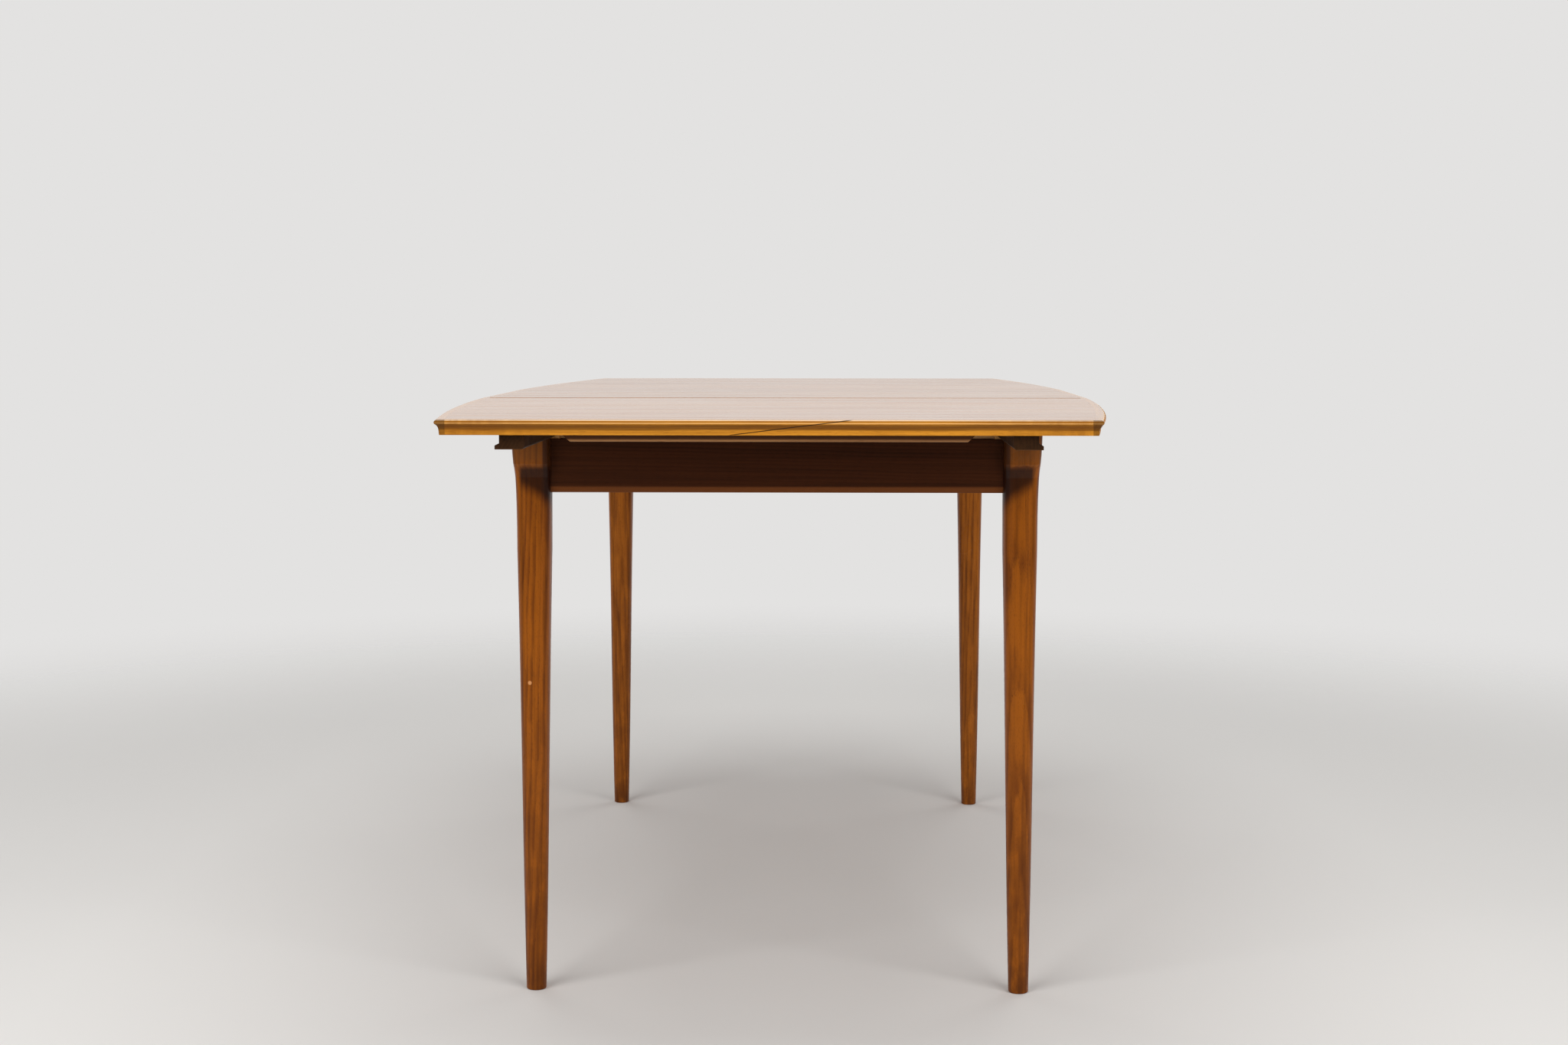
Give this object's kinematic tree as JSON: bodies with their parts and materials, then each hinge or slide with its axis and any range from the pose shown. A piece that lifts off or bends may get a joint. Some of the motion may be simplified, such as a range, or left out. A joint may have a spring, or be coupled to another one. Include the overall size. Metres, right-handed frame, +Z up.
{
  "type": "extending dining table",
  "caption": "Boat-shaped extending dining table: two halves slide outward on runners and a loose leaf lifts out between them, on round tapered legs.",
  "frame": {"origin": "on the floor under the middle of the table, with the leaf in place", "axes": "+Z up; Y along the table's length, with the near end at -Y; X across it, with left at -X"},
  "size_m": [0.858, 1.75, 0.735],
  "materials": {
    "backing_veneer": "sliced backing veneer, thinly sealed",
    "batten_hardwood": "planed dark hardwood",
    "block_beech": "sawn beech, unfinished",
    "core_blockboard": "blockboard, hidden between veneers",
    "edge_lipping_teak": "moulded solid teak under satin lacquer",
    "face_veneer_teak": "sliced teak veneer under satin lacquer",
    "glide_beech": "planed beech, unfinished and waxed by use",
    "joint_lipping_teak": "solid teak strip under the veneer",
    "leg_teak": "turned and squared solid teak under satin lacquer",
    "peg_beech": "turned beech dowel",
    "rail_beech": "planed beech, unfinished",
    "rail_teak": "planed solid teak under satin lacquer",
    "runner_hardwood": "planed dark hardwood",
    "screw_steel": "turned steel, dull",
    "strip_hardwood": "planed dark hardwood, unfinished"
  },
  "bodies": {
    "underframe": {"corner_block_far_left": "block_beech", "corner_block_far_right": "block_beech", "corner_block_near_left": "block_beech", "corner_block_near_right": "block_beech", "corner_block_screws": "screw_steel", "cross_rail_far": "rail_beech", "cross_rail_near": "rail_beech", "end_rail_far": "rail_teak", "end_rail_near": "rail_teak", "guide_strip_left": "strip_hardwood", "guide_strip_right": "strip_hardwood", "leg_far_left": "leg_teak", "leg_far_right": "leg_teak", "leg_near_left": "leg_teak", "leg_near_right": "leg_teak", "runner_glide_far_left": "glide_beech", "runner_glide_far_right": "glide_beech", "runner_glide_near_left": "glide_beech", "runner_glide_near_right": "glide_beech", "side_rail_left": "rail_teak", "side_rail_right": "rail_teak"},
    "near_half": {"near_backing_veneer": "backing_veneer", "near_batten_screws": "screw_steel", "near_core": "core_blockboard", "near_end_batten": "batten_hardwood", "near_end_lipping_left": "edge_lipping_teak", "near_end_lipping_right": "edge_lipping_teak", "near_face_veneer": "face_veneer_teak", "near_inner_batten": "batten_hardwood", "near_joint_lipping": "joint_lipping_teak", "near_runner_left": "runner_hardwood", "near_runner_right": "runner_hardwood", "near_runner_screws": "screw_steel", "near_side_lipping_left": "edge_lipping_teak", "near_side_lipping_right": "edge_lipping_teak", "near_stop_pegs": "peg_beech"},
    "far_half": {"far_backing_veneer": "backing_veneer", "far_batten_screws": "screw_steel", "far_core": "core_blockboard", "far_end_batten": "batten_hardwood", "far_end_lipping": "edge_lipping_teak", "far_face_veneer": "face_veneer_teak", "far_inner_batten": "batten_hardwood", "far_joint_lipping": "joint_lipping_teak", "far_runner_left": "runner_hardwood", "far_runner_right": "runner_hardwood", "far_runner_screws": "screw_steel", "far_side_lipping_left": "edge_lipping_teak", "far_side_lipping_right": "edge_lipping_teak", "far_stop_pegs": "peg_beech"},
    "leaf": {"leaf_backing_veneer": "backing_veneer", "leaf_batten_far": "batten_hardwood", "leaf_batten_near": "batten_hardwood", "leaf_batten_screws": "screw_steel", "leaf_core": "core_blockboard", "leaf_face_veneer": "face_veneer_teak", "leaf_joint_lipping_far": "joint_lipping_teak", "leaf_joint_lipping_near": "joint_lipping_teak", "leaf_side_lipping_left": "edge_lipping_teak", "leaf_side_lipping_right": "edge_lipping_teak"}
  },
  "joints": [
    {"name": "near_half_slide", "type": "slide", "parent": "underframe", "child": "near_half", "axis": [0, -1, 0], "range_m": [0, 0.045]},
    {"name": "far_half_slide", "type": "slide", "parent": "underframe", "child": "far_half", "axis": [0, 1, 0], "range_m": [0, 0.045]},
    {"name": "leaf_lift", "type": "slide", "parent": "underframe", "child": "leaf", "axis": [0, 0, 1], "range_m": [0, 0.06]}
  ]
}
